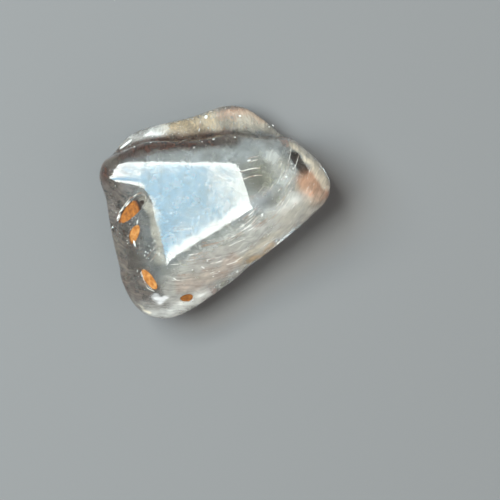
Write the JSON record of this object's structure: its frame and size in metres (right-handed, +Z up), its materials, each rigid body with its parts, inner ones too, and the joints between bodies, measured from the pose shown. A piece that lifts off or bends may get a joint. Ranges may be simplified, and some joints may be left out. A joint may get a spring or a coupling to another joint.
{
  "type": "tumbled topaz pebble",
  "caption": "Clear tumbled topaz pebble, kite-shaped from above, with a flat cleavage face to rest on, a low ledge along one side and rusty etch pits.",
  "frame": {"origin": "middle of the bottom of the stone's box, on the cleavage face that it rests on", "axes": "+Z up out of the cleavage face, +X along the stone's longest extent, towards its rust-stained tip, +Y towards the low ledge"},
  "size_m": [0.0202, 0.0186, 0.0093],
  "materials": {
    "clear_topaz": "clear, naturally worn to a polish, faint straw tint",
    "iron_oxide": "dull orange iron oxide crust in the etch pits"
  },
  "bodies": {
    "root": {"topaz_pebble": "clear_topaz"}
  },
  "joints": []
}
